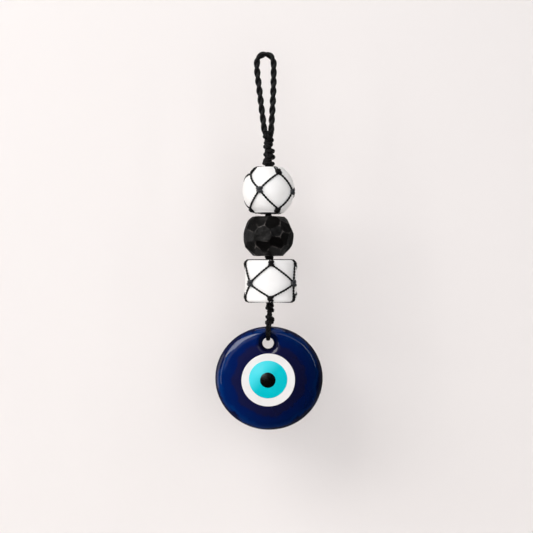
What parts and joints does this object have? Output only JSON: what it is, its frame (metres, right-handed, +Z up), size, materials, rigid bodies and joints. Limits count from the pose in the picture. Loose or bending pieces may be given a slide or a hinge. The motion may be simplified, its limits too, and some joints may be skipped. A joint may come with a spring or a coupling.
{
  "type": "evil eye ornament",
  "caption": "Wall or door hanging: a twisted cord loop with knots, white beads in knotted cord nets, a black faceted bead, and a flat round blue glass eye with white, turquoise and black rings.",
  "frame": {"origin": "where a hook bears, at the top of the inside of the hanging loop", "axes": "+Z up along the string, away from the eye; -Y out of the eye's front face, away from the wall; +X to the right as seen from the front"},
  "size_m": [0.06, 0.0324, 0.2111],
  "materials": {
    "black_cord": "twisted waxed polyester cord, slight sheen",
    "white_wood": "matt white paint on turned wood",
    "black_wood": "satin black stain on knife-cut facets",
    "cobalt_glass": "deep cobalt blue, fire-polished, nearly opaque",
    "white_glass": "opaque white glass, glossy",
    "turquoise_glass": "opaque turquoise glass, glossy",
    "black_glass": "opaque black glass, domed and glossy"
  },
  "bodies": {
    "cord": {"hanging_loop": "black_cord", "throat_knot": "black_cord", "neck_sennit": "black_cord"},
    "upper_bead": {"upper_bead": "white_wood", "upper_net_crown_strands": "black_cord", "upper_net_top_knots": "black_cord", "upper_net_top_diagonals": "black_cord", "upper_net_middle_knots": "black_cord", "upper_net_bottom_diagonals": "black_cord", "upper_net_bottom_knots": "black_cord", "upper_net_base_strands": "black_cord"},
    "middle_cord": {"cord_bundle": "black_cord", "stopper_knot": "black_cord"},
    "faceted_bead": {"faceted_bead": "black_wood"},
    "lower_bead": {"lower_bead": "white_wood", "lower_net_crown_strands": "black_cord", "lower_net_top_knots": "black_cord", "lower_net_top_diagonals": "black_cord", "lower_net_middle_knots": "black_cord", "lower_net_bottom_diagonals": "black_cord", "lower_net_bottom_knots": "black_cord", "lower_net_base_strands": "black_cord"},
    "tail": {"tail_knot": "black_cord"},
    "eye_hanger": {"tie_knot": "black_cord", "eye_tie": "black_cord"},
    "eye": {"eye_body": "cobalt_glass", "eye_white": "white_glass", "eye_turquoise": "turquoise_glass", "eye_pupil": "black_glass"}
  },
  "joints": [
    {"name": "bead_sway", "type": "hinge", "parent": "cord", "child": "upper_bead", "pos_m": [0.0018, 0, -0.06033], "axis": [0, 1, 0], "range_deg": [-15, 15]},
    {"name": "middle_nod", "type": "hinge", "parent": "upper_bead", "child": "middle_cord", "pos_m": [0.00175, 0, -0.0885], "axis": [1, 0, 0], "range_deg": [-4, 4]},
    {"name": "faceted_spin", "type": "hinge", "parent": "middle_cord", "child": "faceted_bead", "pos_m": [0.00175, 0, -0.09995], "axis": [0, 0, 1], "continuous": true},
    {"name": "lower_sway", "type": "hinge", "parent": "middle_cord", "child": "lower_bead", "pos_m": [0.00215, 0, -0.1117], "axis": [0, 1, 0], "range_deg": [-5, 5]},
    {"name": "tail_nod", "type": "hinge", "parent": "lower_bead", "child": "tail", "pos_m": [0.0024, 0, -0.13772], "axis": [1, 0, 0], "range_deg": [-30, 30]},
    {"name": "tail_twist", "type": "hinge", "parent": "tail", "child": "eye_hanger", "pos_m": [0.0024, 0, -0.1426], "axis": [0, 0, 1], "range_deg": [-90, 90]},
    {"name": "eye_swing", "type": "hinge", "parent": "eye_hanger", "child": "eye", "pos_m": [0.0016, 0, -0.1574], "axis": [0, 1, 0], "range_deg": [-25, 25]}
  ]
}
